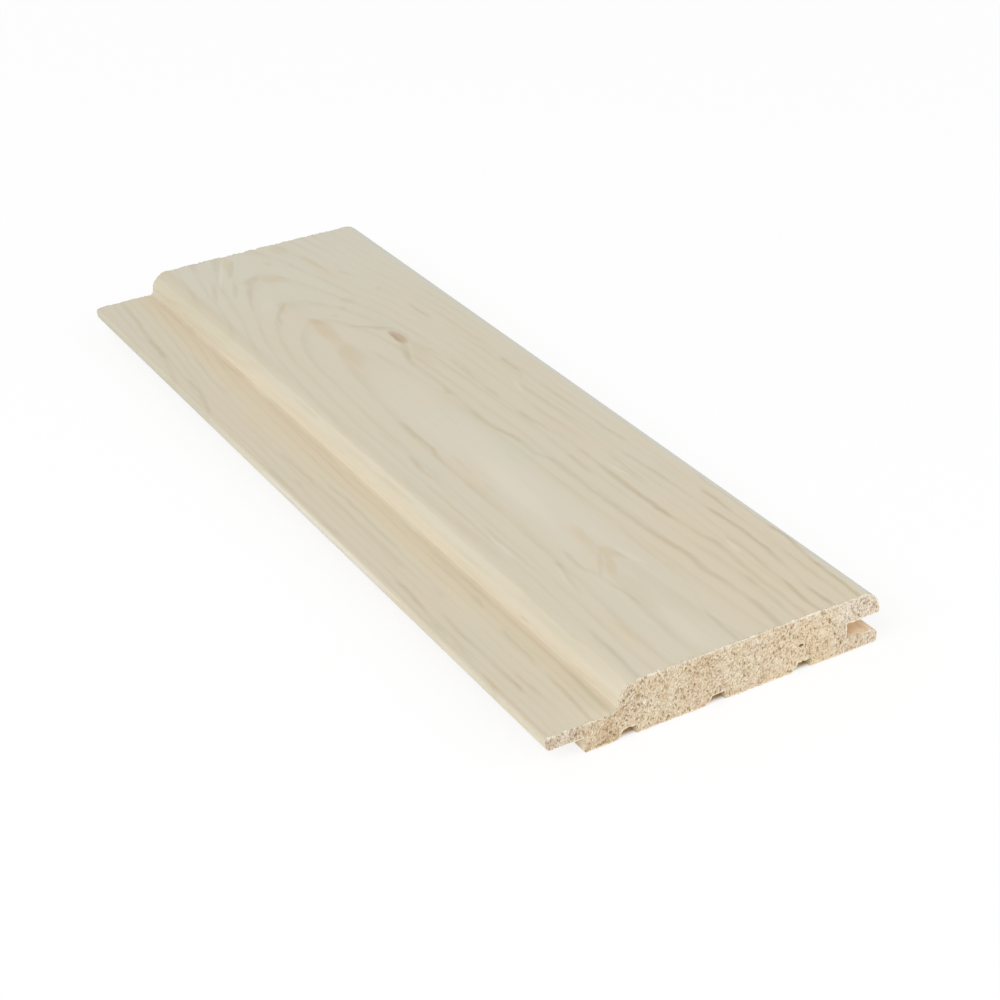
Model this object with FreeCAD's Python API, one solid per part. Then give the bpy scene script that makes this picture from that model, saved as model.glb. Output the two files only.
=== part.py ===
import FreeCAD, Part
import math
import os

# Tongue and groove panel board, moulded from one piece of solid wood. Millimetres.
# Y runs along the board and Z is up, from the back face to the show face.
# The tongue is on the -X edge and the groove on the +X edge.
# The origin is under the middle of the board, in the plane of its back face.

# Overall size: the width is taken over the tongue, from its nose to the lip's edge.
board_length = 275.0
board_width = 95.0
board_thickness = 15.0

# Tongue: its top runs on as a flat ledge to the step, which shows as a shadow gap.
tongue_thickness = 3.8
tongue_height = 4.3        # underside of the tongue above the back face
tongue_reach = 10.3        # nose to the back shoulder
nose_top_radius = 0.8
nose_under_radius = 1.4
shoulder_radius = 0.5      # root of the tongue and foot of the shoulder

# Step from the ledge up to the show face, and the soft edges of that face.
ledge_width = 19.6         # nose to the wall of the step
cove_radius = 1.3
edge_radius = 5.5

# Groove: it takes the tongue of the next board.
fit_clearance = 0.25       # above and below the tongue
back_gap = 0.7             # left behind the lower lip when the tongue is home
lower_lip_setback = 0.3    # the lower lip stops short of the upper one
groove_corner_radius = 0.4
upper_lip_radius = 0.6     # inner edge of the upper lip
lead_in_radius = 2.0       # inner edge of the lower lip, where a tongue enters
lower_lip_heel_radius = 0.8

# Relief grooves that keep the back flat: steep on one side, sloped on the other.
relief_mouth = 5.2
relief_depth = 2.4
relief_slope_run = 1.6
relief_pitch = 25.0
relief_inset = 8.9         # shoulder to the first relief groove
relief_margin = 8.0        # least wood between the last one and the groove's back
relief_radius = 0.3

# Places across the section, measured from the tongue's nose, and heights.
ledge_height = tongue_height + tongue_thickness
groove_floor = tongue_height - fit_clearance
groove_ceiling = ledge_height + fit_clearance
lower_lip_edge = board_width - lower_lip_setback
groove_back = lower_lip_edge - (tongue_reach - back_gap)
upper_lip_height = board_thickness - groove_ceiling
step_height = board_thickness - ledge_height

# The soft edges are as round as the step and the upper lip leave room for.
edge_round = min(edge_radius, step_height - cove_radius, upper_lip_height - upper_lip_radius)


# A corner of the section is its distance from the nose, its height and its radius.
def tongue_corners():
    return [
        (tongue_reach, 0.0, shoulder_radius),
        (tongue_reach, tongue_height, shoulder_radius),
        (0.0, tongue_height, nose_under_radius),
        (0.0, ledge_height, nose_top_radius),
    ]


def face_corners():
    return [
        (ledge_width, ledge_height, cove_radius),
        (ledge_width, board_thickness, edge_round),
        (board_width, board_thickness, edge_round),
    ]


def groove_corners():
    return [
        (board_width, groove_ceiling, upper_lip_radius),
        (groove_back, groove_ceiling, groove_corner_radius),
        (groove_back, groove_floor, groove_corner_radius),
        (lower_lip_edge, groove_floor, lead_in_radius),
        (lower_lip_edge, 0.0, lower_lip_heel_radius),
    ]


# As many relief grooves as fit between the shoulder and the back of the groove.
def relief_corners():
    first = tongue_reach + relief_inset
    room = groove_back - relief_margin - first - relief_mouth
    count = max(0, math.floor(room / relief_pitch) + 1)
    corners = []
    for index in reversed(range(count)):
        slope_foot = first + index * relief_pitch
        steep_side = slope_foot + relief_mouth
        corners += [
            (steep_side, 0.0, relief_radius),
            (steep_side, relief_depth, relief_radius),
            (slope_foot + relief_slope_run, relief_depth, relief_radius),
            (slope_foot, 0.0, relief_radius),
        ]
    return corners


# Closed wire of straight runs joined by arcs that are tangent to both of them.
def rounded_wire(corners, y):
    points = [FreeCAD.Vector(x - board_width / 2, y, z) for x, z, radius in corners]
    arcs = []
    for index, corner in enumerate(points):
        radius = corners[index][2]
        back = (points[index - 1] - corner).normalize()
        ahead = (points[(index + 1) % len(points)] - corner).normalize()
        half_angle = back.getAngle(ahead) / 2
        bisector = (back + ahead).normalize()
        setback = radius / math.tan(half_angle)
        crown = radius / math.sin(half_angle) - radius
        arcs.append((corner + back * setback, corner + bisector * crown, corner + ahead * setback))
    edges = []
    for index, (start, middle, end) in enumerate(arcs):
        previous_end = arcs[index - 1][2]
        if previous_end.distanceToPoint(start) > Part.Precision.confusion():
            edges.append(Part.LineSegment(previous_end, start).toShape())
        edges.append(Part.Arc(start, middle, end).toShape())
    return Part.Wire(edges)


def make_board():
    corners = tongue_corners() + face_corners() + groove_corners() + relief_corners()
    section = Part.Face(rounded_wire(corners, -board_length / 2))
    return section.extrude(FreeCAD.Vector(0, board_length, 0))


os.makedirs("parts", exist_ok=True)
make_board().exportStep("parts/board.step")
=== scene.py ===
import math

import bpy
from mathutils import Matrix, Vector


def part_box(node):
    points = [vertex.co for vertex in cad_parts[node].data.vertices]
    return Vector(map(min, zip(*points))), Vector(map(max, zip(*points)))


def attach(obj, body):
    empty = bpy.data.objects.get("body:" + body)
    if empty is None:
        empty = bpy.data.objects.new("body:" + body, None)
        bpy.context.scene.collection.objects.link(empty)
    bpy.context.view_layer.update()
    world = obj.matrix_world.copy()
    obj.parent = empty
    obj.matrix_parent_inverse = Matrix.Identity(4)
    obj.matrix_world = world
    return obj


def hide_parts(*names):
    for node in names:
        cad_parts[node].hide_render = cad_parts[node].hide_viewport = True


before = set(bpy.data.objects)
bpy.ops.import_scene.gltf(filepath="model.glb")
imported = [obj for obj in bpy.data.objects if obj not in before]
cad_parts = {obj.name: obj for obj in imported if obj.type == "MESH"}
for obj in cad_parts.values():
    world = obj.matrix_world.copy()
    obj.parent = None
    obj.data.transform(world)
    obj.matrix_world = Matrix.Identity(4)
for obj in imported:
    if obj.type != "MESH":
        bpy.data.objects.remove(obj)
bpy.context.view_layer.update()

# Tongue and groove board: the moulded solid gets sawn ends with torn fibres and the wood of its faces.
# Lengths are in metres, and in millimetres inside the materials.

low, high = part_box("board")
millimetres = 1000.0
boardWidth, boardLength, boardThickness = ((high[n] - low[n]) * millimetres for n in range(3))


def rgb(red, green, blue):                     # a colour as a screen shows it, 0 to 255
    def linear(value):
        value = value / 255
        return value / 12.92 if value <= 0.04045 else ((value + 0.055) / 1.055) ** 2.4
    return (linear(red), linear(green), linear(blue), 1.0)


# Shader maths: a Field is one value in a node tree, and arithmetic on it adds Math nodes.
class Field:
    def __init__(self, tree, socket=None):
        self.tree = tree
        self.socket = socket

    def add(self, nodeType, settings=None, sockets=None, output=0):
        node = self.tree.nodes.new(nodeType)
        for name, value in (settings or {}).items():
            if name == "points":               # a curve through these places
                line = node.mapping.curves[0]
                line.points[0].location = value[0]
                line.points[1].location = value[-1]
                for place in value[1:-1]:
                    line.points.new(*place)
                for point in line.points:
                    point.handle_type = "AUTO_CLAMPED"
                node.mapping.update()
            else:
                setattr(node, name, value)
        for name, value in (sockets or {}).items():
            if isinstance(value, Field):
                self.tree.links.new(value.socket, node.inputs[name])
            else:
                node.inputs[name].default_value = value
        return Field(self.tree, node.outputs[output])

    def math(self, operation, *others):
        return self.add("ShaderNodeMath", {"operation": operation}, dict(enumerate((self, *others))))

    def __add__(self, other):
        return self.math("ADD", other)

    def __sub__(self, other):
        return self.math("SUBTRACT", other)

    def __rsub__(self, other):
        return self * -1 + other

    def __mul__(self, other):
        return self.math("MULTIPLY", other)

    def __truediv__(self, other):
        return self.math("DIVIDE", other)

    __radd__ = __add__
    __rmul__ = __mul__

    def rise(self, start, end):                # 0 up to start, 1 from end on
        return self.add("ShaderNodeMapRange", {"interpolation_type": "SMOOTHSTEP"},
                        {"Value": self, "From Min": start, "From Max": end})

    def fall(self, start, end):                # 1 up to start, 0 from end on
        return 1 - self.rise(start, end)

    def curve(self, places, span, reach=1.0):  # a smooth line through places, given as (input, output)
        scaled = [(a / span, b / reach) for a, b in places]
        return self.add("ShaderNodeFloatCurve", {"points": scaled}, {"Value": self / span}) * reach

    def noise(self, size, detail=2.0, rough=0.5):   # -1 to 1, with grains of this size in millimetres
        scale = tuple(1 / length for length in size)
        place = self.add("ShaderNodeMapping", None, {"Vector": self, "Scale": scale})
        found = self.add("ShaderNodeTexNoise", None,
                         {"Vector": place, "Scale": 1.0, "Detail": detail, "Roughness": rough})
        return found * 2 - 1

    # Colours: first where this is 0, second where it is 1. The numbers are the colour sockets of a Mix node.
    def blend(self, first, second):
        return self.add("ShaderNodeMix", {"data_type": "RGBA"}, {0: self, 6: first, 7: second}, 2)

    def feed(self, socket):
        self.tree.links.new(self.socket, socket)


def newMaterial(name):
    material = bpy.data.materials.new(name)
    material.use_nodes = True
    return material, Field(material.node_tree), material.node_tree.nodes["Principled BSDF"].inputs


# Places in the wood, in millimetres: across from the tongue's nose, along from the near end and up from
# the back.
def woodPlaces(start):
    found = start.add("ShaderNodeTexCoord", output="Object")
    corner = tuple(-value * millimetres for value in low)
    place = start.add("ShaderNodeMapping", None,
                      {"Vector": found, "Location": corner, "Scale": (millimetres,) * 3})
    across, along, up = (start.add("ShaderNodeSeparateXYZ", None, {"Vector": place}, n) for n in range(3))
    return place, across, along, up


# The tree the board was cut from: its pith lies below the board and sinks towards the far end.
tree = {
    "pithAcross": 48.0,
    "ringWidth": 2.05,
    "ringStart": 33.8,
    "pithDepth": 33.0,             # below the face, where the drawn lines are carried down into the board
    "pithAlong": [(0, 33.0), (52, 33.8), (190, 35.8), (213, 37.9), (229, 39.9), (254, 42.0), (275, 43.6)],
    "pithReach": 60.0,
}


def growthRings(place, across, along, up):     # the dark share of the rings
    drift = place.noise((16, 40, 16)) * 1.5 + place.noise((2.6, 6, 2.6)) * 0.35
    below = along.curve(tree["pithAlong"], boardLength, tree["pithReach"])
    side = across + drift - tree["pithAcross"]
    rise = below - boardThickness + up
    radius = (side * side + rise * rise).math("SQRT")
    ring = ((radius - tree["ringStart"]) / tree["ringWidth"] + 0.5).math("FRACT")
    return ring.rise(0.12, 0.5) * ring.fall(0.5, 0.62)


# Lines of the planed face, each a path of (along, across) and a depth of colour of (along, strength).
faceLines = [
    {"path": [(0, 65), (14, 66), (23, 65.7), (30, 64.5), (38, 65), (48, 64), (60, 63.6), (75, 63), (98, 62.6),
              (106, 60.6), (112, 61), (122, 59.2), (130, 58.6), (150, 59.5), (170, 59.2), (176, 60),
              (182, 62), (188, 63.5), (275, 63.5)],
     "shade": [(0, 0.8), (12, 0.75), (17, 0.35), (24, 0.6), (32, 0.8), (44, 0.7), (52, 0.75), (58, 0.6),
               (64, 0.7), (75, 0.5), (98, 0.5), (104, 0.35), (116, 0.6), (130, 0.7), (136, 0.5),
               (144, 0.3), (149, 0.55), (156, 0.4), (166, 0.4), (176, 0.55), (184, 0.5), (188, 0), (275, 0)],
     "width": 1.5},
    {"path": [(0, 73), (25, 73.5), (38, 74.5), (48, 73), (56, 72.5), (66, 72), (78, 71.5), (92, 72),
              (116, 71), (126, 69.7), (140, 69.2), (165, 69.9), (175, 68), (185, 67.5), (275, 67)],
     "shade": [(0, 0.4), (10, 0.3), (28, 0.35), (38, 0.5), (44, 0.35), (50, 0.25), (55, 0.5), (58, 0.85),
               (66, 1), (72, 0.85), (78, 0.8), (88, 0.6), (93, 0.3), (97, 0.45), (101, 0.1), (108, 0.15),
               (120, 0.5), (126, 0.6), (129, 0.15), (134, 0.15), (143, 0.5), (149, 0.15), (155, 0.5),
               (166, 0.4), (169, 0.1), (175, 0.3), (188, 0), (275, 0)],
     "width": 1.4},
    {"path": [(0, 70), (20, 71), (35, 70.5), (60, 69), (90, 67.4), (98, 67.8), (110, 68), (275, 68)],
     "shade": [(0, 0.1), (20, 0.4), (28, 0.2), (35, 0.25), (45, 0), (84, 0), (91, 0.55), (97, 0.5),
               (101, 0), (275, 0)],
     "width": 1.2},
    {"path": [(0, 77.3), (5, 77), (16, 77.6), (40, 78.5), (55, 78), (75, 77), (93, 77), (113, 76), (126, 75),
              (140, 76), (195, 78.7), (208, 78.3), (275, 78)],
     "shade": [(0, 0.4), (5, 0.45), (12, 0.65), (16, 0.55), (19, 0.2), (26, 0.4), (38, 0.35), (41, 0.1),
               (50, 0), (72, 0), (76, 0.3), (88, 0.4), (96, 0.05), (113, 0.2), (125, 0.3), (130, 0.05),
               (192, 0), (196, 0.35), (203, 0.5), (208, 0.2), (212, 0), (275, 0)],
     "width": 1.1},
    {"path": [(0, 81), (10, 80.7), (20, 82), (40, 83.3), (55, 82.8), (76, 82), (90, 80.8), (113, 80),
              (130, 79), (140, 78.8), (150, 82.5), (165, 82.5), (275, 83)],
     "shade": [(0, 0.7), (6, 0.7), (16, 0.15), (24, 0.4), (36, 0.7), (53, 0.6), (57, 0.15), (70, 0.35),
               (78, 0.5), (90, 0.45), (94, 0.1), (110, 0.15), (122, 0.45), (139, 0.5), (143, 0.1),
               (148, 0.3), (153, 0.7), (158, 0.7), (161, 0.1), (180, 0.1), (275, 0)],
     "width": 1.2},
    {"path": [(0, 85.5), (18, 85.8), (28, 86.3), (62, 86.8), (75, 86), (97, 85), (110, 84.2), (135, 83.5),
              (150, 83.3), (275, 84)],
     "shade": [(0, 0.15), (17, 0.3), (24, 0.4), (28, 0.2), (40, 0.15), (50, 0.35), (54, 0.65), (61, 0.7),
               (64, 0.15), (72, 0.1), (94, 0.1), (97, 0.35), (104, 0.5), (110, 0.45), (113, 0.2),
               (122, 0.35), (134, 0.4), (138, 0.15), (170, 0.1), (275, 0)],
     "width": 1.0},
    {"path": [(0, 88.6), (10, 88.8), (18, 89.2), (30, 90.2), (38, 90.6), (60, 90.5), (275, 90)],
     "shade": [(0, 0.6), (9, 0.75), (15, 0.6), (17, 0.85), (20, 0.4), (30, 0.6), (37, 0.65), (40, 0.15),
               (62, 0.15), (68, 0.25), (73, 0.05), (275, 0)],
     "width": 1.0},
    {"path": [(0, 25.2), (8, 25.6), (25, 26.5), (40, 27), (60, 26), (85, 25.2), (275, 25)],
     "shade": [(0, 0.4), (6, 0.6), (16, 0.55), (22, 0.3), (26, 0.05), (55, 0.1), (66, 0.3), (82, 0.25),
               (90, 0.1), (275, 0)],
     "width": 1.5},
    {"path": [(0, 30), (60, 29.7), (78, 30), (98, 30.2), (108, 31), (112, 30.6), (120, 31.2), (135, 31),
              (275, 31)],
     "shade": [(0, 0), (40, 0.05), (58, 0.35), (64, 0.45), (76, 0.4), (80, 0.1), (94, 0.15), (107, 0.3),
               (116, 0.6), (121, 0.4), (124, 0.1), (136, 0.25), (140, 0), (275, 0)],
     "width": 1.1},
    {"path": [(0, 33), (15, 33.4), (25, 32.8), (42, 34), (53, 36.2), (72, 36.6), (98, 36.8), (116, 37.2),
              (124, 38.6), (138, 38.7), (150, 39), (275, 38)],
     "shade": [(0, 0), (12, 0.15), (17, 0.35), (28, 0), (40, 0.2), (46, 0.45), (52, 0.5), (55, 0.1),
               (66, 0.3), (76, 0), (86, 0.2), (98, 0.3), (102, 0.05), (112, 0.2), (117, 0.5), (124, 0.7),
               (138, 0.6), (141, 0.1), (145, 0), (275, 0)],
     "width": 1.1},
    {"path": [(0, 42), (28, 42.2), (38, 41.8), (44, 41), (48, 39.7), (60, 40.4), (92, 41), (275, 41)],
     "shade": [(0, 0.15), (22, 0.15), (27, 0.5), (30, 0.55), (36, 0.4), (40, 0.2), (47, 0.5), (51, 0.55),
               (56, 0.3), (62, 0), (90, 0.1), (95, 0.25), (99, 0), (110, 0.25), (118, 0), (275, 0)],
     "width": 1.2},
    {"path": [(0, 53.3), (12, 53.4), (22, 56), (30, 58), (275, 56)],
     "shade": [(0, 0.3), (4, 0.6), (11, 0.65), (14, 0.3), (24, 0.1), (40, 0.2), (52, 0.3), (62, 0), (275, 0)],
     "width": 1.1},
]

# The same for the ledge beside the step, where across is measured at the ledge's own height.
ledgeLines = [
    {"path": [(0, 12.2), (10, 12.8), (28, 13.7), (43, 14.1), (55, 15.5), (75, 16.5), (275, 16.5)],
     "shade": [(0, 0.6), (3, 0.7), (17, 0.5), (21, 0.3), (24, 0.05), (28, 0.4), (36, 0.55), (42, 0.5),
               (45, 0.05), (54, 0.1), (57, 0.5), (64, 0.1), (76, 0.3), (80, 0), (275, 0)],
     "width": 1.1},
    {"path": [(0, 7.5), (25, 7.8), (62, 9.5), (72, 9.7), (84, 7.7), (100, 8), (128, 8), (275, 7.6)],
     "shade": [(0, 0), (13, 0.1), (20, 0.5), (25, 0.4), (28, 0.05), (62, 0), (67, 0.35), (72, 0), (82, 0.1),
               (85, 0.4), (108, 0.35), (120, 0.3), (138, 0.5), (152, 0.45), (155, 0), (275, 0)],
     "width": 1.1},
    {"path": [(0, 5), (28, 5.5), (36, 5.6), (48, 5), (56, 5.5), (138, 4.5), (210, 4.5), (275, 4.5)],
     "shade": [(0, 0), (17, 0.1), (21, 0.65), (26, 0.6), (36, 0.3), (42, 0.3), (47, 0.45), (56, 0.2), (60, 0),
               (132, 0), (136, 0.35), (140, 0), (275, 0)],
     "width": 1.1},
    {"path": [(0, 0.7), (30, 1), (42, 1.8), (55, 1.9), (62, 2.7), (70, 3.2), (78, 3.2), (108, 1), (275, 1)],
     "shade": [(0, 0.3), (20, 0.3), (25, 0.7), (33, 0.1), (41, 0.45), (46, 0.15), (54, 0.5), (58, 0.3),
               (63, 0.6), (72, 0.75), (77, 0.4), (80, 0), (104, 0.1), (108, 0.5), (121, 0.1), (145, 0.4),
               (149, 0), (275, 0)],
     "width": 1.1},
    {"path": [(0, 11), (95, 11), (120, 11.5), (130, 11), (275, 11)],
     "shade": [(0, 0), (88, 0), (94, 0.4), (113, 0.4), (128, 0.35), (134, 0), (192, 0), (200, 0.25),
               (206, 0), (275, 0)],
     "width": 1.0},
    {"path": [(0, 0.5), (185, 0.5), (192, 2), (200, 3.5), (210, 4.5), (275, 6)],
     "shade": [(0, 0), (184, 0), (188, 0.45), (198, 0.6), (206, 0.6), (212, 0.1), (216, 0), (275, 0)],
     "width": 1.2},
    {"path": [(0, 1), (212, 1), (218, 2), (226, 3.8), (236, 4.8), (243, 5), (250, 6), (267, 8), (275, 8.5)],
     "shade": [(0, 0), (208, 0), (212, 0.35), (220, 0.25), (228, 0.45), (232, 0.85), (240, 0.9), (246, 0.35),
               (255, 0.35), (262, 0.45), (275, 0.1)],
     "width": 1.3},
]

# Single marks on the face: across, along, half width, half length, lean across per length, strength.
darkMarks = [
    (44.5, 252, 4.0, 3.4, 0.6, 0.45), (40.0, 243, 1.6, 7.5, 0.45, 0.4), (36.5, 234, 1.0, 6.0, 0.35, 0.3),
    (43.0, 226, 1.6, 5.0, 0.75, 0.45), (39.6, 219.5, 1.0, 4.5, 0.3, 0.3),
    (42.8, 264, 1.5, 8.0, 0.5, 0.5), (37.0, 248, 1.2, 8.0, 0.4, 0.4), (31.0, 250, 1.1, 9.0, 0.35, 0.35),
    (67.5, 254, 1.3, 9.0, -0.2, 0.3), (72.5, 240, 1.4, 5.0, -0.4, 0.25), (54.5, 261, 1.6, 3.0, -0.2, 0.3),
    (62.5, 269, 3.2, 5.0, 0, 0.3), (76.0, 224, 1.2, 2.4, 0.3, 0.3), (63.5, 221, 2.2, 3.6, -0.3, 0.28),
    (59.8, 217, 1.3, 2.4, 0, 0.28), (55.0, 213, 1.2, 2.0, 0, 0.3), (48.0, 213, 2.2, 4.0, -0.3, 0.4),
    (60.2, 199.8, 2.0, 5.6, -1.15, 0.6), (44.5, 46.5, 1.2, 6.5, 0.6, 0.3), (51.2, 47.5, 0.8, 3.5, -0.2, 0.4),
    (61.5, 178.0, 0.9, 6.0, 0.4, 0.35),
]
warmMarks = [
    (47.8, 205, 3.4, 10.5, 0.05, 0.65), (46.5, 188, 3.4, 13.0, 0.1, 0.4), (50.5, 249.0, 4.2, 4.2, -0.5, 0.45),
    (43.2, 268, 1.6, 5.0, 0.4, 0.4), (44.8, 229.5, 2.2, 3.4, 0.5, 0.45),
    (49.2, 50.5, 2.4, 4.4, -0.15, 0.6), (46.3, 44.5, 1.8, 5.5, 0.4, 0.55), (48.0, 60, 1.6, 8.0, 0.1, 0.4),
    (62.0, 197, 1.8, 2.0, -0.6, 0.5), (66.0, 189, 1.8, 5.0, 0.1, 0.5), (64.6, 176, 3.0, 12.0, 0.1, 0.35),
    (58.6, 149, 1.6, 2.6, 0, 0.4),
    (60.8, 114.5, 1.0, 4.0, 0.1, 0.5), (36.4, 52, 0.9, 2.2, 0.1, 0.5), (71.3, 20, 1.2, 3.5, 0, 0.4),
]
paleMarks = [
    (38.0, 261, 1.2, 12.0, 0.45, 0.6), (41.0, 232, 3.0, 6.0, 0.4, 0.3), (74.6, 84, 0.7, 5.0, -0.12, 0.6),
    (76.9, 35.5, 0.9, 4.5, 0.1, 0.6), (53.0, 45.5, 1.0, 6.0, -0.25, 0.5), (77.4, 141, 0.9, 5.0, 0.15, 0.5),
    (28.2, 67, 1.0, 8.0, 0.03, 0.5), (33.8, 46, 0.7, 6.0, 0.15, 0.4), (64.9, 183.5, 0.6, 4.0, 0.3, 0.7),
    (46.5, 90, 3.6, 26.0, 0.05, 0.5), (46.0, 12, 3.0, 14.0, 0, 0.35),
]

# Marks on the step, with their height in the place of across.
stepMarks = [
    (13.45, 165, 0.45, 10.0, 0, 0.45), (13.45, 109, 0.45, 11.0, 0, 0.45), (10.3, 42, 0.5, 2.6, 0, 0.5),
    (13.3, 45, 0.4, 1.8, 0, 0.35), (11.5, 140, 0.4, 1.8, 0, 0.3), (12.4, 70, 0.4, 9.0, 0, 0.3),
    (12.0, 222, 0.4, 10.0, 0, 0.3),
]
stepPale = (14.05, 132, 0.4, 34.0, 0, 0.12)

# One small knot, a spindle with a tail, with reddish wood beside it.
knot = {
    "halo": (64.6, 189.5, 2.6, 8.5, 0.05, 1.0), "body": (64.1, 188.8, 1.8, 6.2, 0.0, 1.0),
    "core": (63.2, 189.2, 0.9, 6.4, 0.0, 1.0),
}


def grainLine(line, across, along):
    away = (across - along.curve(line["path"], boardLength, boardWidth)).math("ABSOLUTE")
    return away.fall(0, line["width"]) * along.curve(line["shade"], boardLength)


def mark(spot, across, along):
    atAcross, atAlong, halfWidth, halfLength, lean, strength = spot
    ahead = along - atAlong
    aside = (across - atAcross - ahead * lean) / halfWidth
    ahead = ahead / halfLength
    return (aside * aside + ahead * ahead).fall(0.05, 1.0) * strength


def together(values):
    values = list(values)
    total = values[0]
    for value in values[1:]:
        total = total + value
    return total


def bumped(start, look, relief):
    sockets = {"Strength": look["bump"], "Distance": look["bumpHeight"], "Height": relief}
    return start.add("ShaderNodeBump", None, sockets)


sawn = {
    "wood": rgb(230, 212, 185), "wheat": rgb(227, 206, 172), "red": rgb(230, 203, 178),
    "green": rgb(218, 211, 178), "peach": rgb(242, 217, 182),
    "root": rgb(206, 178, 142), "tongue": rgb(212, 197, 180), "lip": rgb(240, 229, 213),
    "pale": rgb(252, 243, 222), "shade": rgb(184, 156, 120), "pit": rgb(122, 94, 62),
    "hole": rgb(96, 68, 42), "spot": rgb(160, 142, 92), "bent": rgb(222, 212, 192),
    "top": [(0, 7.6), (0.8, 8.1), (18.3, 8.1), (19.4, 9.0), (19.7, 10.5), (20.5, 12.4), (22, 14.0),
            (25.1, 15), (89.5, 15), (92.2, 14.3), (94, 12.6), (94.8, 10.5), (95, 9.5)],    # (across, up)
    "holeAt": (71.6, 7.0, 0.7, 0.45, 0.2, 1.0), "spotAt": (25.0, 10.3, 1.1, 0.9, 0, 1.0),    # across, up
    "roughness": 0.85, "specular": 0.2, "bump": 0.7, "bumpHeight": 0.00015,
}

planed = {
    "near": rgb(214, 205, 184), "far": rgb(213, 207, 190), "centre": rgb(217, 210, 193),
    "mottleWarm": rgb(217, 201, 175), "mottleCool": rgb(206, 204, 185),
    "line": rgb(190, 171, 138), "lineOlive": rgb(186, 177, 149), "warm": rgb(206, 188, 155),
    "pale": rgb(224, 216, 198), "ledge": rgb(210, 194, 167), "ledgePaintedLight": rgb(219, 206, 180),
    "foot": rgb(202, 185, 156), "round": rgb(240, 229, 207), "browShade": rgb(196, 187, 166),
    "stepFarShade": rgb(210, 201, 178),
    "rim": rgb(217, 217, 205), "nose": rgb(217, 209, 187), "noseFar": rgb(195, 193, 173),
    "noseHighlight": rgb(226, 221, 207), "noseEdgeShade": rgb(194, 184, 164),
    "inner": rgb(221, 203, 172), "shoulder": rgb(250, 231, 200),
    "groove": rgb(246, 224, 194), "grooveDark": rgb(214, 184, 140),
    "knot": rgb(177, 152, 124), "knotEdge": rgb(207, 188, 160),
    "roughness": 0.62, "specular": 0.35, "bump": 0.35, "bumpHeight": 0.00004,
}

# How much of some colours shows along the board, and of the pale round up the step.
share = {
    "centre": [(0, 0.1), (40, 0.3), (75, 0.65), (105, 0.8), (150, 0.5), (185, 0.1), (275, 0)],
    "noseHighlight": [(0, 0), (70, 0.1), (98, 0.8), (132, 0.8), (160, 0.1), (275, 0)],
    "round": [(0, 0.9), (60, 0.95), (95, 1.2), (190, 1.2), (240, 0.6), (275, 0.5)],
    "foot": [(0, 0.45), (60, 0.4), (90, 0.35), (100, 0.1), (136, 0.1), (145, 0.4), (182, 0.4), (190, 0.15),
             (202, 0.2), (206, 0.55), (215, 0.55), (219, 0.35), (238, 0.35), (243, 0.6), (262, 0.6),
             (268, 0.3), (275, 0.2)],
    "roundUp": [(0, 0), (8.3, 0), (8.8, 0.22), (9.6, 0.5), (10.2, 0.44), (10.7, 0.31), (11.3, 0.25),
                (11.9, 0.2), (12.5, 0.15), (13.2, 0.09), (14.6, 0.1), (15, 0.1)],
}


# Colour drifts slowly over the board, and every few millimetres in streaks along it.
def drifting(place, across, along, up):
    colour = along.rise(170, 275).blend(planed["near"], planed["far"])
    middle = (across - tree["pithAcross"]).math("ABSOLUTE").fall(3, 11)
    centre = middle * along.curve(share["centre"], boardLength)
    colour = (centre * up.rise(12, 14.5)).blend(colour, planed["centre"])
    colour = (place.noise((7, 42, 7)).rise(0.0, 0.7) * 0.6).blend(colour, planed["mottleWarm"])
    colour = (place.noise((8, 30, 9), 3).rise(0.0, 0.7) * 0.6).blend(colour, planed["mottleCool"])
    warmSide = across.rise(52, 62) * along.fall(40, 90) * 0.45
    return warmSide.blend(colour, planed["mottleWarm"])


# The board's two long edges: the round over the groove, and the tongue's nose.
# The round's paler rim and a pale line along the nose are painted highlight, the darker arris above the nose
# painted shade.
def withEdges(colour, waver, place, across, along, up):
    # The round over the groove is painted paler: painted highlight.
    rim = (across + waver).rise(88.5, 92.5) * (up + waver).rise(11.0, 13.2)
    colour = (rim * 0.8).blend(colour, planed["rim"])
    nose = (place.noise((2, 30, 2)) * 0.6 + along.rise(110, 235)).blend(planed["nose"], planed["noseFar"])
    # A pale line along the middle of the nose: painted highlight.
    nose = along.curve(share["noseHighlight"], boardLength).blend(nose, planed["noseHighlight"])
    colour = (across.fall(0.3, 1.5) * up.fall(7.3, 8.0) * 0.8).blend(colour, nose)
    # The arris above the nose is painted darker: painted shade against the light on its round.
    noseEdgeShade = across.fall(0.5, 1.2) * up.rise(7.3, 7.8) * up.fall(8.5, 9.0)
    return (noseEdgeShade * 0.4).blend(colour, planed["noseEdgeShade"])


def withLedge(colour, onStep, across, along, up):
    ledge = up.fall(8.2, 8.9) * up.rise(7.0, 7.6) * across.fall(18.5, 19.5)
    colour = (ledge * across.fall(5, 13) * 0.2).blend(colour, planed["ledge"])
    # Next to the step the ledge is painted paler: painted light that offsets the step's shade.
    inner = across.rise(5, 16) * (0.9 - along.fall(30, 80) * 0.25)
    colour = (ledge * inner).blend(colour, planed["ledgePaintedLight"])
    # The step is painted darker towards the far end: painted shade.
    return (onStep * along.rise(150, 235)).blend(colour, planed["stepFarShade"])


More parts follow.
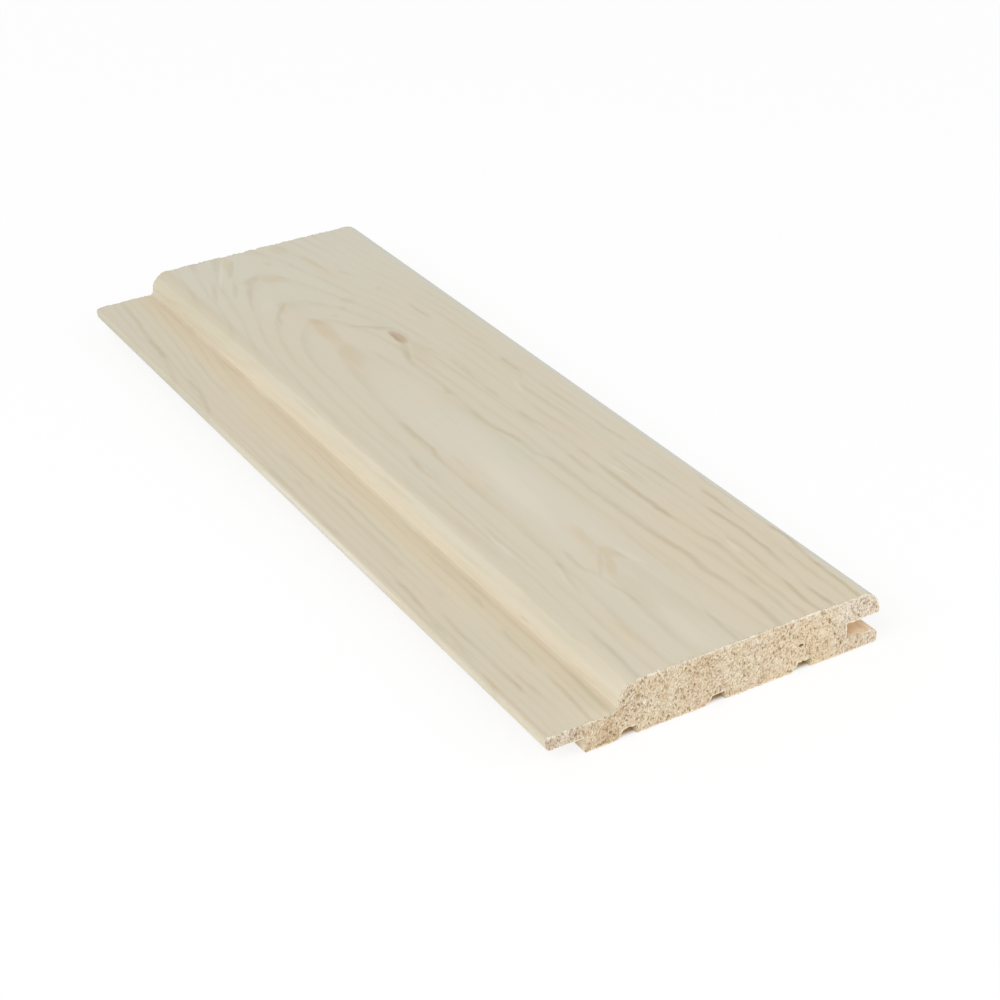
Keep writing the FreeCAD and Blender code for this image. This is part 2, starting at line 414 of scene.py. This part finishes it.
# Growth rings come and go along the board, with the drawn lines and marks over them.
def withGrain(colour, wander, atFace, place, across, along, up):
    adrift = across + wander
    blurred = adrift + place.noise((1.4, 3, 1.4)) * 0.9
    dark = together(mark(spot, adrift, along) for spot in darkMarks) * atFace
    warm = together(mark(spot, blurred, along) for spot in warmMarks) * atFace
    pale = together(mark(spot, adrift, along) for spot in paleMarks) * atFace

    # A line below the face lies where its ring would come out at the face.
    side = adrift - tree["pithAcross"]
    depth = boardThickness - up
    spread = (side * side - depth * (2 * tree["pithDepth"] - depth)).math("MAXIMUM", 0.0).math("SQRT")
    onFace = side.math("SIGN") * spread + tree["pithAcross"]
    clearer = across.rise(66, 74) * along.fall(45, 80) * 0.45 + 1
    lines = together(grainLine(line, onFace, along) for line in faceLines) * clearer
    atLedge = up.fall(8.8, 9.6) * across.fall(19.5, 22.0)
    onLedge = together(grainLine(line, adrift, along) for line in ledgeLines) * atLedge
    broken = 0.85 + place.noise((1.2, 5, 1.2)) * 0.5
    drawn = ((lines + onLedge + dark) * broken).math("MINIMUM", 1.0)

    late = growthRings(place, across, along, up)
    ringStrength = (0.3 - across.rise(60, 78) * 0.13 + place.noise((5, 36, 5)) * 0.6).math("MAXIMUM", 0.04)
    lineColour = place.noise((4, 12, 4)).rise(-0.35, 0.35).blend(planed["line"], planed["lineOlive"])
    colour = (late * ringStrength * 0.5).blend(colour, lineColour)
    colour = (pale * 0.8).blend(colour, planed["pale"])
    colour = (warm * 0.8).blend(colour, planed["warm"])
    return (drawn * 0.72).blend(colour, lineColour)


# The round of the step is paler, partly its own wood and partly painted highlight; its brow at the face is a
# little greyer, painted shade; and its foot is browner, partly resin and partly painted shade in the cove.
def withStep(colour, waver, wander, onStep, place, across, along, up):
    ragged = place.noise((0.9, 5, 0.9), 2) * 0.35
    boundary = across + waver + ragged + place.noise((4, 14, 4)) * 0.7 + along.rise(180, 240) * 0.6
    # Painted shade on the brow, where the top of the round turns to the light.
    browShade = boundary.rise(22.1, 22.5) * across.fall(24, 26.5) * up.rise(13.4, 14)
    colour = (browShade * 0.16).blend(colour, planed["browShade"])
    # The pale round, strongest low in the cove: partly paler wood, partly painted highlight.
    onRound = up.curve(share["roundUp"], boardThickness) * boundary.fall(22.1, 22.5)
    streak = (place.noise((0.6, 30, 0.6), 2) * 0.6 + 1) * along.curve(share["round"], boardLength, 1.5)
    colour = (onRound * streak).blend(colour, planed["round"])
    # The browner foot: partly resin, partly painted shade in the cove.
    foot = (across + waver).rise(16.8, 19.3) * (up + ragged * 0.5).fall(8.5, 9.0) * across.fall(19.8, 20.6)
    browner = along.curve(share["foot"], boardLength) * (place.noise((2, 9, 2), 2) * 0.6 + 1)
    colour = (foot * browner).blend(colour, planed["foot"])
    height = up + wander * 0.5
    dark = together(mark(spot, height, along) for spot in stepMarks) * onStep
    colour = (dark * 0.7).blend(colour, planed["foot"])
    return (mark(stepPale, height, along) * onStep).blend(colour, planed["round"])


# Surfaces turned away from the face: the shoulder, the relief grooves and the groove.
# The shoulder and the groove are painted paler: painted light that lifts their shade.
def withInside(colour, place, across, up):
    under = across.rise(9.7, 10.2) * across.fall(85.0, 86.0) * up.rise(0.05, 0.6) * up.fall(4.3, 4.8)
    # The shoulder under the tongue is painted paler: painted light.
    colour = (under * 0.9).blend(colour, across.rise(10.6, 11.0).blend(planed["shoulder"], planed["inner"]))
    # The groove is painted pale: painted light inside it, with darker mottles over it.
    groove = across.rise(84.6, 85.2) * up.rise(3.5, 4.1) * up.fall(8.3, 8.6)
    colour = (groove * 0.9).blend(colour, planed["groove"])
    mottle = groove * place.noise((1.6, 4, 1.3), 2).rise(-0.1, 0.5) * 0.6
    return mottle.blend(colour, planed["grooveDark"])


def withKnot(colour, around, core, atFace, along):
    halo = mark(knot["halo"], around, along) * atFace
    body = mark(knot["body"], around, along) * atFace
    colour = (halo * 0.4).blend(colour, planed["knotEdge"])
    colour = (body * 0.5).blend(colour, planed["knot"])
    return (core * 0.6).blend(colour, planed["knot"])


# Crumbs of torn wood where the saw came through.
def withCrumbs(colour, place, along):
    fromEnd = along.math("MINIMUM", boardLength - along)
    torn = (fromEnd + place.noise((0.45, 1.6, 0.45), 2) * 2.6).fall(0.0, 0.5)
    crumbs = place.noise((0.26, 0.8, 0.26), 2).rise(-0.35, 0.05)
    return (torn * 0.75).blend(colour, crumbs.blend(sawn["shade"], planed["near"]))


def planedWood():
    material, start, shader = newMaterial("planedWood")
    place, across, along, up = woodPlaces(start)
    wander = place.noise((9, 18, 9)) * 0.7 + place.noise((2, 5, 2), 1) * 0.55
    waver = place.noise((3, 22, 3)) * 0.6
    atFace = up.rise(9.5, 12.0)
    onStep = up.rise(8.6, 9.6) * (across + waver).fall(24, 27)
    colour = drifting(place, across, along, up)
    colour = withEdges(colour, waver, place, across, along, up)
    colour = withLedge(colour, onStep, across, along, up)
    colour = withGrain(colour, wander, atFace, place, across, along, up)
    colour = withStep(colour, waver, wander, onStep, place, across, along, up)
    colour = withInside(colour, place, across, up)

    # The fibres: fine streaks along the grain, and finer ones inside them.
    fibre = place.noise((0.55, 14, 0.55), 3, 0.6)
    colour = (fibre.rise(0.05, 0.8) * 0.16).blend(colour, planed["line"])
    colour = ((fibre * -1).rise(0.05, 0.8) * 0.22).blend(colour, planed["pale"])

    around = across + wander * 0.5 + place.noise((1.2, 2.5, 1.2)) * 0.7
    core = mark(knot["core"], around, along) * atFace
    colour = withKnot(colour, around, core, atFace, along)
    withCrumbs(colour, place, along).feed(shader["Base Color"])

    rough = planed["roughness"] + fibre * 0.06 - core * 0.1
    rough.feed(shader["Roughness"])
    shader["Specular IOR Level"].default_value = planed["specular"]
    relief = fibre * 0.6 + place.noise((0.22, 5, 0.22), 2) * 0.4
    bumped(start, planed, relief).feed(shader["Normal"])
    return material


def sawnEnd():
    material, start, shader = newMaterial("sawnEnd")
    place, across, along, up = woodPlaces(start)
    late = growthRings(place, across, along, up)
    colour = place.noise((9, 9, 6)).rise(-0.5, 0.5).blend(sawn["wood"], sawn["wheat"])
    colour = (place.noise((5, 9, 3.2)).rise(0.05, 0.5) * 0.6).blend(colour, sawn["red"])
    colour = (place.noise((4, 11, 3)).rise(0.1, 0.5) * 0.5).blend(colour, sawn["green"])
    lip = across.rise(77, 86) * (0.35 + up.rise(8, 10) * 0.45)
    colour = lip.blend(colour, sawn["lip"])
    root = across.rise(7, 10) * across.fall(17.5, 22) * up.fall(8, 11)
    colour = (root * 0.2).blend(colour, sawn["root"])
    colour = (across.rise(56, 66) * across.fall(78, 84) * 0.3).blend(colour, sawn["peach"])
    colour = (across.rise(18, 22) * across.fall(38, 46) * 0.06).blend(colour, sawn["shade"])
    colour = (across.fall(6, 11) * 0.75).blend(colour, sawn["tongue"])
    colour = (late * 0.2).blend(colour, sawn["shade"])

    # Fibres of the face bend over the top arris, so the edge has no clean line.
    fromTop = across.curve(sawn["top"], boardWidth, boardThickness) - up
    bent = (fromTop + place.noise((0.5, 1, 0.8), 2) * 2.2).fall(0.1, 0.8)
    colour = (bent * 0.5).blend(colour, sawn["bent"])

    # Tufts of torn fibre are pale, and the pits between them are browner the deeper they are:
    # partly the torn fibre's own colour, partly painted shade in the pits.
    deep = along.math("MINIMUM", boardLength - along)
    tufts = place.noise((0.3, 0.6, 0.5), 3, 0.6)
    fine = place.noise((0.2, 0.4, 0.28), 2)
    level = (deep * fromTop.rise(0.1, 0.9)).math("MINIMUM", 0.8) + tufts * 0.56 + fine * 0.34 + root * 0.07
    colour = (level.fall(0.05, 0.4) * 0.9).blend(colour, sawn["pale"])
    colour = (level.rise(0.35, 0.72) * 0.95).blend(colour, sawn["shade"])
    colour = (level.rise(0.7, 1.1) * 0.85).blend(colour, sawn["pit"])

    # Two larger flaws: a dark hole, its darkness painted shade inside it, and a greenish brown spot.
    hole = mark(sawn["holeAt"], across + tufts * 0.2, up)
    colour = (hole.rise(0.1, 0.5) * 0.9).blend(colour, sawn["hole"])
    spot = mark(sawn["spotAt"], across + tufts * 0.4, up)
    colour = (spot * 0.6).blend(colour, sawn["spot"])
    colour.feed(shader["Base Color"])
    shader["Roughness"].default_value = sawn["roughness"]
    shader["Specular IOR Level"].default_value = sawn["specular"]
    relief = tufts * -1 - fine * 0.7 - hole * 3
    bumped(start, sawn, relief).feed(shader["Normal"])
    return material


# The board's mesh: a copy of the solid whose ends are cut fine enough to be torn.
ends = {
    "touching": 1e-6, "flatAngle": math.radians(0.5), "softAngle": math.radians(40),
    "facing": 0.9,                 # a face belongs to an end where its normal runs along the board
    "uvMargin": 0.004,
    "cell": (0.00022, 0.00026),    # grid of the sawn ends, across and up
    "rings": (0.0003, 0.0006, 0.0009, 0.0012),    # cuts round the faces beside them
    "stretch": 1.8,                # tufts are taller than they are wide
    "upright": 0.3, "sideShare": 0.35,    # arrises that don't look up are left nearly whole
    "face": [
        {"basis": "BLENDER_ORIGINAL", "size": 0.0030, "depth": 0.00025, "contrast": 1.0, "bright": 1.0},
        {"basis": "VORONOI_F1", "size": 0.00042, "depth": 0.00022, "contrast": 1.3, "bright": 1.0},
        {"basis": "BLENDER_ORIGINAL", "size": 0.00028, "depth": 0.00020, "contrast": 1.8, "bright": 1.0},
        {"basis": "IMPROVED_PERLIN", "size": 0.00042, "depth": 0.00070, "contrast": 4.0, "bright": 0.2},
    ],
    "chips": [
        {"basis": "BLENDER_ORIGINAL", "size": 0.0006, "depth": 0.00100, "contrast": 2.4, "bright": 0.55},
        {"basis": "BLENDER_ORIGINAL", "size": 0.0042, "depth": 0.00080, "contrast": 1.8, "bright": 0.6},
    ],
    "wear": [
        {"basis": "BLENDER_ORIGINAL", "size": 0.0006, "depth": 0.00016, "contrast": 2.0, "bright": 1.0},
    ],
}


def startEditing(piece, mode):
    bpy.ops.object.select_all(action="DESELECT")
    piece.select_set(True)
    bpy.context.view_layer.objects.active = piece
    bpy.ops.object.mode_set(mode="EDIT")
    bpy.ops.mesh.select_mode(type=mode)


def stopEditing():
    bpy.ops.object.mode_set(mode="OBJECT")


def copySolid():
    piece = bpy.data.objects.new("woodBoard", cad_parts["board"].data.copy())
    bpy.context.scene.collection.objects.link(piece)
    startEditing(piece, "VERT")
    bpy.ops.mesh.select_all(action="SELECT")
    bpy.ops.mesh.customdata_custom_splitnormals_clear()
    bpy.ops.mesh.remove_doubles(threshold=ends["touching"])
    bpy.ops.mesh.dissolve_limited(angle_limit=ends["flatAngle"])
    stopEditing()
    return piece


def setMaterials(piece, materials):
    piece.data.materials.clear()
    for material in materials:
        piece.data.materials.append(material)


# A flat layout: the moulded faces unrolled from one seam, and the two ends beside them.
def unwrapBoard(piece):
    mesh = piece.data
    for layer in list(mesh.uv_layers):
        mesh.uv_layers.remove(layer)
    mesh.uv_layers.new(name="OFBake")
    isEnd = [abs(face.normal.y) > ends["facing"] for face in mesh.polygons]
    around = {}
    for face in mesh.polygons:
        for key in face.edge_keys:
            around.setdefault(key, []).append(isEnd[face.index])
    longEdges = [edge for edge in mesh.edges if not any(around[edge.key])]

    def awayFromBack(edge):                    # least at the middle of the back
        place = mesh.vertices[edge.vertices[0]].co
        return place.z * 10 + abs(place.x)

    seam = min(longEdges, key=awayFromBack)
    for edge in mesh.edges:
        edge.use_seam = len(set(around[edge.key])) > 1 or edge.index == seam.index
    startEditing(piece, "FACE")
    bpy.ops.mesh.select_all(action="SELECT")
    bpy.ops.uv.unwrap(method="CONFORMAL", margin=ends["uvMargin"])
    stopEditing()


def cutEnds(piece):
    mesh = piece.data
    band = ends["rings"][-1]
    startEditing(piece, "FACE")
    for depth in ends["rings"]:
        for y in (low.y + depth, high.y - depth):
            bpy.ops.mesh.select_all(action="SELECT")
            bpy.ops.mesh.bisect(plane_co=(0, y, 0), plane_no=(0, 1, 0))
    stopEditing()
    for face in mesh.polygons:
        face.material_index = 1 if abs(face.center.y) > high.y - band else 0
    startEditing(piece, "FACE")
    piece.active_material_index = 1
    for axis, normal, cell in ((2, (0, 0, 1), ends["cell"][1]), (0, (1, 0, 0), ends["cell"][0])):
        count = math.ceil((high[axis] - low[axis]) / cell)
        for step in range(1, count):
            cut = Vector((0, 0, 0))
            cut[axis] = low[axis] + (high[axis] - low[axis]) * step / count
            bpy.ops.mesh.select_all(action="DESELECT")
            bpy.ops.object.material_slot_select()
            bpy.ops.mesh.bisect(plane_co=cut, plane_no=normal, threshold=ends["touching"])
    stopEditing()
    for face in mesh.polygons:
        face.material_index = 1 if abs(face.normal.y) > ends["facing"] else 0


# Pushes the vertices of a group in by cloudy noise, along the board or along their own normals.
def pushIn(piece, group, direction, sign, grains, grip):
    for grain in grains:
        cloud = bpy.data.textures.new("grain", "CLOUDS")
        cloud.noise_basis = grain["basis"]
        cloud.noise_scale = grain["size"]
        cloud.noise_depth = 1
        cloud.contrast = grain["contrast"]
        cloud.intensity = grain["bright"]
        cloud.use_clamp = True                 # only ever inwards
        push = piece.modifiers.new("push", "DISPLACE")
        push.texture = cloud
        push.texture_coords = "OBJECT"
        push.texture_coords_object = grip
        push.direction = direction
        push.vertex_group = group
        push.mid_level = 0.0
        push.strength = grain["depth"] * sign
        bpy.ops.object.modifier_apply(modifier=push.name)
        bpy.data.textures.remove(cloud)


def tearEnds(piece):
    mesh = piece.data
    band = ends["rings"][-1]
    endFaces = [face for face in mesh.polygons if face.material_index == 1]
    onSide = {v for face in mesh.polygons if face.material_index == 0 for v in face.vertices}
    grip = bpy.data.objects.new("grip", None)
    grip.scale = (1, 1, ends["stretch"])
    bpy.context.scene.collection.objects.link(grip)
    for name, inward in (("nearEnd", 1), ("farEnd", -1)):
        inside = {v for face in endFaces if face.center.y * inward < 0 for v in face.vertices}
        group = piece.vertex_groups.new(name=name)
        group.add(sorted(inside - onSide), 1.0, "REPLACE")
        rim = piece.vertex_groups.new(name=name + "Rim")
        for v in onSide:
            place = mesh.vertices[v].co
            depth = high.y + place.y * inward
            if depth < band:
                share = 1.0 if mesh.vertices[v].normal.z > ends["upright"] else ends["sideShare"]
                rim.add([v], share * (1 - depth / band), "REPLACE")
    for name, inward in (("nearEnd", 1), ("farEnd", -1)):
        pushIn(piece, name + "Rim", "NORMAL", -1, ends["wear"], grip)
        pushIn(piece, name, "Y", inward, ends["face"], grip)
        pushIn(piece, name + "Rim", "Y", inward, ends["chips"], grip)
    bpy.data.objects.remove(grip)
    piece.vertex_groups.clear()


def makeBoard():
    piece = copySolid()
    unwrapBoard(piece)
    setMaterials(piece, [planedWood(), sawnEnd()])
    cutEnds(piece)
    bpy.ops.object.shade_smooth_by_angle(angle=ends["softAngle"])
    tearEnds(piece)
    even = piece.modifiers.new("even", "WEIGHTED_NORMAL")    # wide flat faces keep their own direction
    even.keep_sharp = True
    even.weight = 100
    bpy.ops.object.modifier_apply(modifier=even.name)
    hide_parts("board")
    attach(piece, "root")
    print("board:", len(piece.data.polygons), "faces")
    return piece


# A plain pale floor, and soft light that is strongest from the tongue's side.
studio = {
    "floorSize": 6.0, "floorDrop": 0.00005, "floorColour": rgb(255, 255, 255), "floorRoughness": 0.9,
    "floorLift": 0.82, "liftWhole": (0.3, 1.0),    # it shows whiter, and quite white between these distances
    "under": (low.x + 0.0115, high.x - 0.003),    # but not under the board, where its shade is painted warm as bounce light from the wood
    "underWhole": 0.0022, "underBounceTint": rgb(255, 233, 192),
    "sky": 0.62,
    "lamps": [
        {"name": "softKey", "from": (-1.5, -0.55, 1.45), "size": 1.4, "power": 22.0},
        {"name": "softFill", "from": (1.5, -1.4, 0.8), "size": 1.4, "power": 12.0},
    ],
}


def makeFloor():
    bpy.ops.object.select_all(action="DESELECT")
    bpy.ops.mesh.primitive_plane_add(size=studio["floorSize"], location=(0, 0, low.z - studio["floorDrop"]))
    floor = bpy.context.object
    floor.name = "floor"
    material, start, shader = newMaterial("paleFloor")
    shader["Roughness"].default_value = studio["floorRoughness"]
    shader["Specular IOR Level"].default_value = 0.0
    nodes = material.node_tree.nodes
    plain = Field(material.node_tree, nodes["Principled BSDF"].outputs[0])
    white = start.add("ShaderNodeEmission", None, {"Color": (1, 1, 1, 1), "Strength": 1.0})
    place = start.add("ShaderNodeTexCoord", output="Object")
    away = start.add("ShaderNodeVectorMath", {"operation": "LENGTH"}, {0: place}, "Value")
    lift = studio["floorLift"] + away.rise(*studio["liftWhole"]) * (1 - studio["floorLift"])
    x, y = (start.add("ShaderNodeSeparateXYZ", None, {"Vector": place}, n) for n in range(2))
    left, right = studio["under"]
    inward = high.y - y.math("ABSOLUTE")
    # Under the board the floor is tinted warm: painted bounce light from the wood in its shade.
    under = x.math("GREATER_THAN", left) * x.math("LESS_THAN", right) * inward.rise(0, studio["underWhole"])
    under.blend(studio["floorColour"], studio["underBounceTint"]).feed(shader["Base Color"])
    seen = start.add("ShaderNodeLightPath", output="Is Camera Ray") * lift * (1 - under)
    mixed = start.add("ShaderNodeMixShader", None, {0: seen, 1: plain, 2: white})
    mixed.feed(nodes["Material Output"].inputs["Surface"])
    floor.data.materials.append(material)


def makeLight():
    world = bpy.data.worlds.new("studio")
    world.use_nodes = True
    bpy.context.scene.world = world
    start = Field(world.node_tree)
    seen = start.add("ShaderNodeLightPath", output="Is Camera Ray")
    strength = studio["sky"] + seen * (1 - studio["sky"])
    strength.feed(world.node_tree.nodes["Background"].inputs["Strength"])
    world.node_tree.nodes["Background"].inputs["Color"].default_value = (1, 1, 1, 1)
    for lamp in studio["lamps"]:
        light = bpy.data.lights.new(lamp["name"], "AREA")
        light.size = lamp["size"]
        light.energy = lamp["power"]
        holder = bpy.data.objects.new(lamp["name"], light)
        holder.location = lamp["from"]
        holder.rotation_euler = (-Vector(lamp["from"])).to_track_quat("-Z", "Y").to_euler()
        bpy.context.scene.collection.objects.link(holder)


# The photo's viewpoint: the lens on a 36 mm sensor, and how far the camera is turned, tipped and rolled.
view = {
    "lens": 77.134, "sensor": 36.0, "clip": (0.01, 20.0),
    "turn": math.radians(29.582), "tip": math.radians(29.946), "roll": math.radians(-1.855),
    "place": (-0.246504, -0.470850, 0.293743),
}


def makeCamera():
    camera = bpy.data.cameras.new("camera")
    camera.lens = view["lens"]
    camera.sensor_width = view["sensor"]
    camera.clip_start, camera.clip_end = view["clip"]
    holder = bpy.data.objects.new("camera", camera)
    turned = Matrix.Rotation(-view["turn"], 4, "Z") @ Matrix.Rotation(math.pi / 2 - view["tip"], 4, "X")
    holder.matrix_world = Matrix.Translation(view["place"]) @ turned @ Matrix.Rotation(view["roll"], 4, "Z")
    bpy.context.scene.collection.objects.link(holder)
    bpy.context.scene.camera = holder


makeBoard()
makeFloor()
makeLight()
makeCamera()
bpy.context.scene.view_settings.view_transform = "Standard"
print("scene ready")
